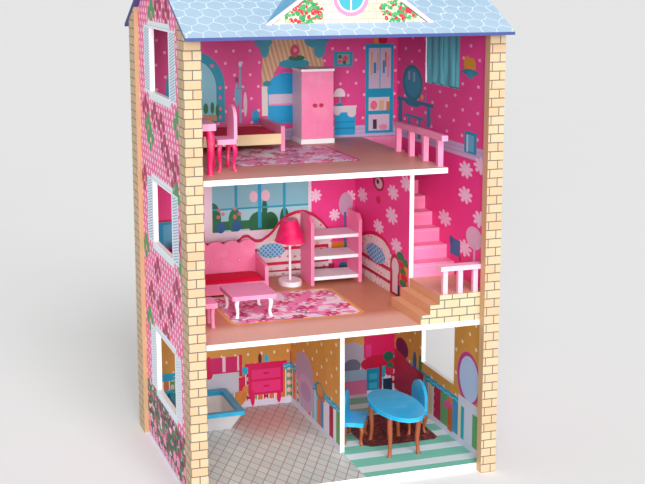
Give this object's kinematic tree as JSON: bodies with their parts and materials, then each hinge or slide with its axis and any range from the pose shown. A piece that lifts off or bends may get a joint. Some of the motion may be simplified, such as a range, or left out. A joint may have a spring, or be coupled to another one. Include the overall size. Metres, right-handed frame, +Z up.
{
  "type": "wooden dollhouse",
  "caption": "Open-fronted printed wooden dollhouse with a gable roof, dormer, open floors joined by stairs, and loose painted doll furniture.",
  "frame": {"origin": "centre of the bounding box at the base, on the floor the house stands on", "axes": "+Z up; the open front faces -Y; +X runs to the right seen from the front, towards the stair side"},
  "size_m": [0.606, 0.543, 0.9806],
  "materials": {
    "floor_base_print": "satin printed board",
    "floor_middle_print": "satin printed board",
    "floor_top_print": "satin printed board",
    "side_wall_print": "satin printed board",
    "back_wall_lower_print": "satin printed board",
    "back_wall_upper_print": "satin printed board",
    "divider_ground_print": "satin printed board",
    "divider_middle_print": "satin printed board",
    "brick_print": "satin printed board",
    "roof_print": "satin printed board",
    "dormer_print": "satin printed board",
    "dormer_roof_paint": "satin paint",
    "dormer_fascia_paint": "satin paint",
    "stair_paint": "satin paint",
    "entry_wood": "satin printed board",
    "landing_wood": "satin printed board",
    "fence_paint": "satin paint",
    "railing_paint": "satin paint",
    "curtain_cloth": "woven",
    "wardrobe_paint": "satin paint",
    "white_trim_paint": "satin paint",
    "door_paint": "satin paint",
    "knob_paint": "gloss paint",
    "bed_paint": "satin paint",
    "bed_rail_paint": "clear lacquer",
    "mattress_cloth": "woven",
    "bedroom_chair_paint": "satin paint",
    "crimson_leg_paint": "gloss paint",
    "dressing_table_paint": "satin paint",
    "sofa_paint": "satin paint",
    "sofa_cloth": "woven",
    "coffee_table_paint": "satin paint",
    "white_leg_paint": "gloss paint",
    "stool_paint": "satin paint",
    "lamp_white_paint": "gloss paint",
    "lamp_shade_paint": "satin paint",
    "shelf_side_paint": "satin paint",
    "shelf_white_paint": "satin paint",
    "tub_paint": "gloss paint",
    "tub_rim_paint": "gloss paint",
    "dining_blue_paint": "gloss paint",
    "stained_leg_wood": "clear lacquer"
  },
  "bodies": {
    "house": {"floor_base": "floor_base_print", "floor_middle": "floor_middle_print", "floor_top": "floor_top_print", "side_wall_left": "side_wall_print", "side_wall_right": "side_wall_print", "back_panel_lower": "back_wall_lower_print", "back_panel_upper": "back_wall_upper_print", "divider_ground": "divider_ground_print", "divider_middle": "divider_middle_print", "front_post_left": "brick_print", "front_post_right": "brick_print", "side_battens": "brick_print", "roof_panel_front": "roof_print", "roof_panel_back": "roof_print", "dormer_gable": "dormer_print", "dormer_roof_panels": "dormer_roof_paint", "dormer_fascia": "dormer_fascia_paint", "stair_risers": "stair_paint", "stair_treads": "stair_paint", "entry_steps": "entry_wood", "landing_deck": "landing_wood", "entry_front_board": "brick_print", "landing_fence": "fence_paint", "top_railing": "railing_paint", "window_curtains": "curtain_cloth"},
    "wardrobe": {"wardrobe_carcass": "wardrobe_paint", "wardrobe_top": "white_trim_paint", "wardrobe_plinth": "white_trim_paint"},
    "bed": {"bed_end_boards": "bed_paint", "bed_side_rails": "bed_rail_paint", "bed_base": "bed_rail_paint", "bed_mattress": "mattress_cloth"},
    "bedroom_chair": {"bedroom_chair_seat": "bedroom_chair_paint", "bedroom_chair_legs": "crimson_leg_paint"},
    "dressing_table": {"dressing_table_top": "dressing_table_paint", "dressing_table_legs": "crimson_leg_paint"},
    "sofa": {"sofa_back": "sofa_paint", "sofa_frame": "sofa_paint", "sofa_cushion": "sofa_cloth"},
    "coffee_table": {"coffee_table_top": "coffee_table_paint", "coffee_table_legs": "white_leg_paint"},
    "side_stool": {"side_stool_top": "stool_paint", "side_stool_legs": "stool_paint"},
    "floor_lamp": {"floor_lamp_stand": "lamp_white_paint", "floor_lamp_shade": "lamp_shade_paint"},
    "shelf_unit": {"shelf_unit_sides": "shelf_side_paint", "shelf_unit_shelves": "shelf_white_paint"},
    "bathtub": {"bathtub_body": "tub_paint", "bathtub_rim": "tub_rim_paint"},
    "dining_table": {"dining_table_top": "dining_blue_paint", "dining_table_legs": "stained_leg_wood"},
    "dining_chair_left": {"dining_chair_left_seat": "dining_blue_paint", "dining_chair_left_legs": "stained_leg_wood"},
    "dining_chair_right": {"dining_chair_right_seat": "dining_blue_paint", "dining_chair_right_legs": "stained_leg_wood"},
    "wardrobe_left_leaf": {"wardrobe_door_left": "door_paint", "wardrobe_knob_left": "knob_paint"},
    "wardrobe_right_leaf": {"wardrobe_door_right": "door_paint", "wardrobe_knob_right": "knob_paint"}
  },
  "joints": [
    {"name": "wardrobe_lift", "type": "slide", "parent": "house", "child": "wardrobe", "axis": [0, 0, 1], "range_m": [0, 0.06]},
    {"name": "bed_lift", "type": "slide", "parent": "house", "child": "bed", "axis": [0, 0, 1], "range_m": [0, 0.06]},
    {"name": "bedroom_chair_lift", "type": "slide", "parent": "house", "child": "bedroom_chair", "axis": [0, 0, 1], "range_m": [0, 0.06]},
    {"name": "dressing_table_lift", "type": "slide", "parent": "house", "child": "dressing_table", "axis": [0, 0, 1], "range_m": [0, 0.06]},
    {"name": "sofa_lift", "type": "slide", "parent": "house", "child": "sofa", "axis": [0, 0, 1], "range_m": [0, 0.06]},
    {"name": "coffee_table_lift", "type": "slide", "parent": "house", "child": "coffee_table", "axis": [0, 0, 1], "range_m": [0, 0.06]},
    {"name": "side_stool_lift", "type": "slide", "parent": "house", "child": "side_stool", "axis": [0, 0, 1], "range_m": [0, 0.06]},
    {"name": "floor_lamp_lift", "type": "slide", "parent": "house", "child": "floor_lamp", "axis": [0, 0, 1], "range_m": [0, 0.06]},
    {"name": "shelf_unit_lift", "type": "slide", "parent": "house", "child": "shelf_unit", "axis": [0, 0, 1], "range_m": [0, 0.06]},
    {"name": "bathtub_lift", "type": "slide", "parent": "house", "child": "bathtub", "axis": [0, 0, 1], "range_m": [0, 0.06]},
    {"name": "dining_table_lift", "type": "slide", "parent": "house", "child": "dining_table", "axis": [0, 0, 1], "range_m": [0, 0.06]},
    {"name": "dining_chair_left_lift", "type": "slide", "parent": "house", "child": "dining_chair_left", "axis": [0, 0, 1], "range_m": [0, 0.06]},
    {"name": "dining_chair_right_lift", "type": "slide", "parent": "house", "child": "dining_chair_right", "axis": [0, 0, 1], "range_m": [0, 0.06]},
    {"name": "wardrobe_left_hinge", "type": "hinge", "parent": "wardrobe", "child": "wardrobe_left_leaf", "pos_m": [0.0405, 0.1635, 0.67], "axis": [0, 0, -1], "range_deg": [0, 105]},
    {"name": "wardrobe_right_hinge", "type": "hinge", "parent": "wardrobe", "child": "wardrobe_right_leaf", "pos_m": [0.1095, 0.1635, 0.67], "axis": [0, 0, 1], "range_deg": [0, 105]}
  ]
}
